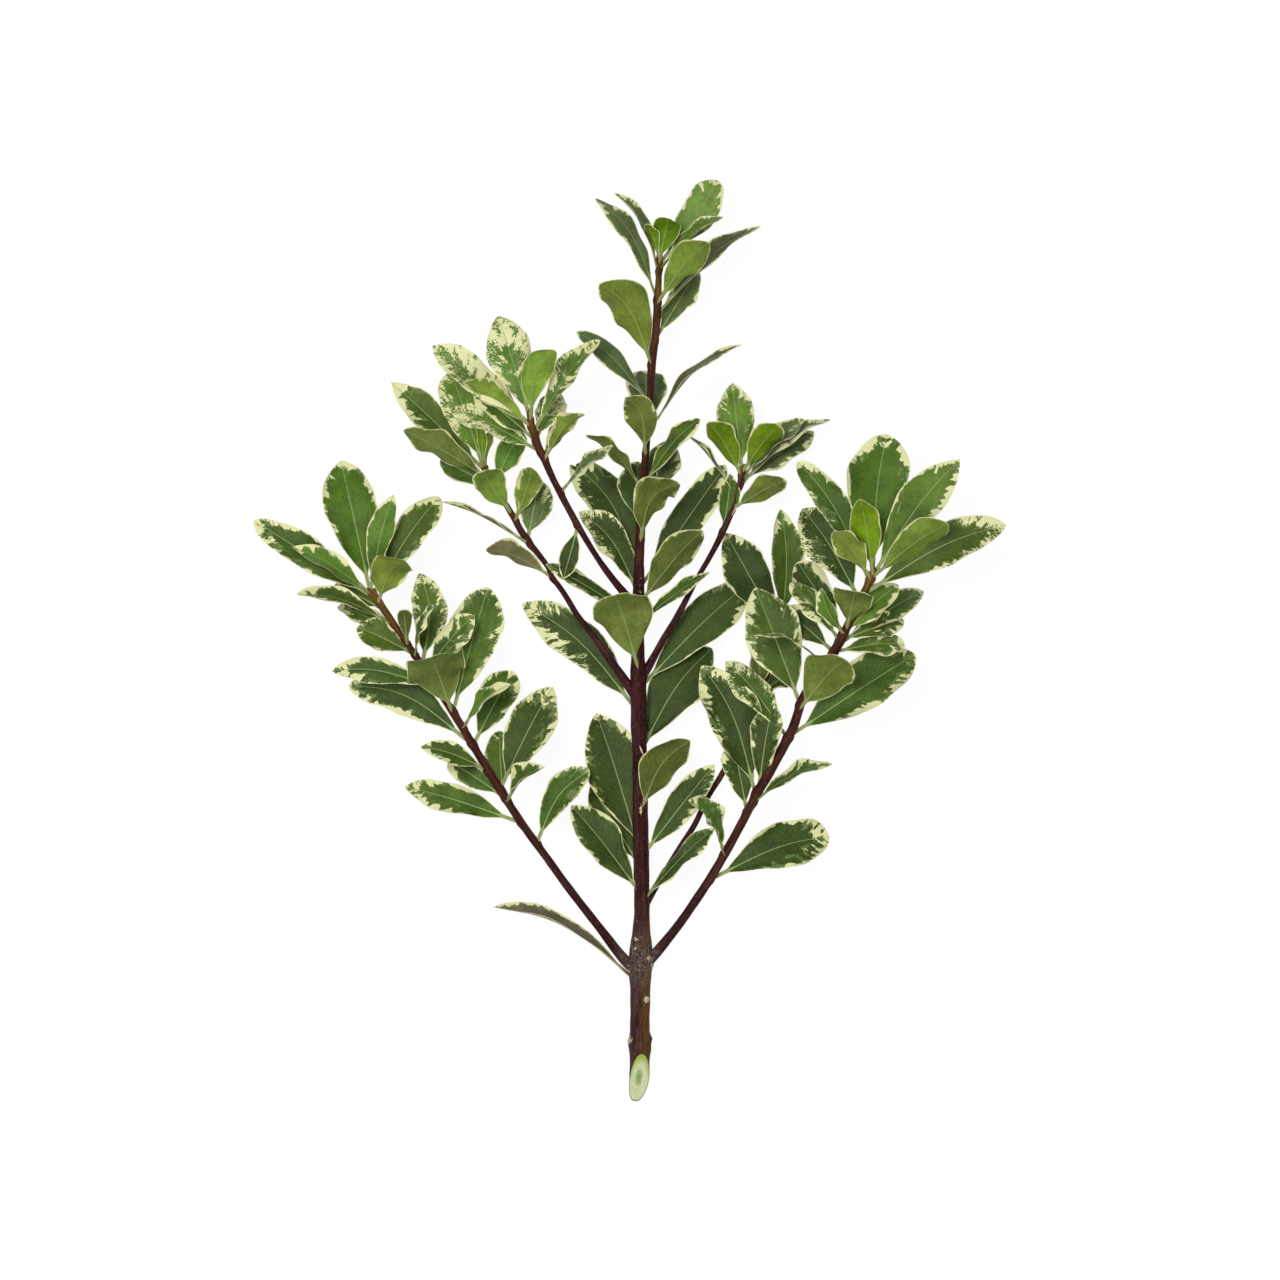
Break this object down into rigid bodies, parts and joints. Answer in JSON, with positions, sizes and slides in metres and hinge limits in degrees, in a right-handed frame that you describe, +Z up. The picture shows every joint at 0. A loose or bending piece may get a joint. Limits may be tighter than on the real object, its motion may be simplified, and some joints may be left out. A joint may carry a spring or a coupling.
{
  "type": "cut variegated pittosporum stem",
  "caption": "Cut woody stem of variegated pittosporum with a slanting green cut at its foot, boughs to both sides and spoon-shaped green leaves edged in cream, lying flat.",
  "frame": {"origin": "middle of the plan of the lying stem, on the surface it lies on", "axes": "+Y from the cut foot towards the tip, +Z up out of the surface it lies on, +X to the right"},
  "size_m": [0.338, 0.4168, 0.0611],
  "materials": {
    "bark": "matt dark red-brown bark",
    "leaf": "satin green leaf with cream margins"
  },
  "bodies": {
    "root": {"main_stem": "bark", "bough_low_left": "bark", "bough_low_right": "bark", "bough_thin_right": "bark", "bough_mid_left": "bark", "bough_mid_right": "bark", "bough_high_left": "bark", "foliage_leader": "leaf", "foliage_low_left": "leaf", "foliage_low_right": "leaf", "foliage_thin_right": "leaf", "foliage_mid_left": "leaf", "foliage_mid_right": "leaf", "foliage_high_left": "leaf", "stem_leaf_01": "leaf", "stem_leaf_02": "leaf", "stem_leaf_03": "leaf", "stem_leaf_04": "leaf", "stem_leaf_05": "leaf", "stem_leaf_06": "leaf", "stem_leaf_07": "leaf", "stem_leaf_08": "leaf", "stem_leaf_09": "leaf", "stem_leaf_10": "leaf", "stem_leaf_11": "leaf", "stem_leaf_12": "leaf", "stem_leaf_13": "leaf", "stem_leaf_14": "leaf", "stem_leaf_15": "leaf", "stem_leaf_16": "leaf", "stem_leaf_17": "leaf"}
  },
  "joints": []
}
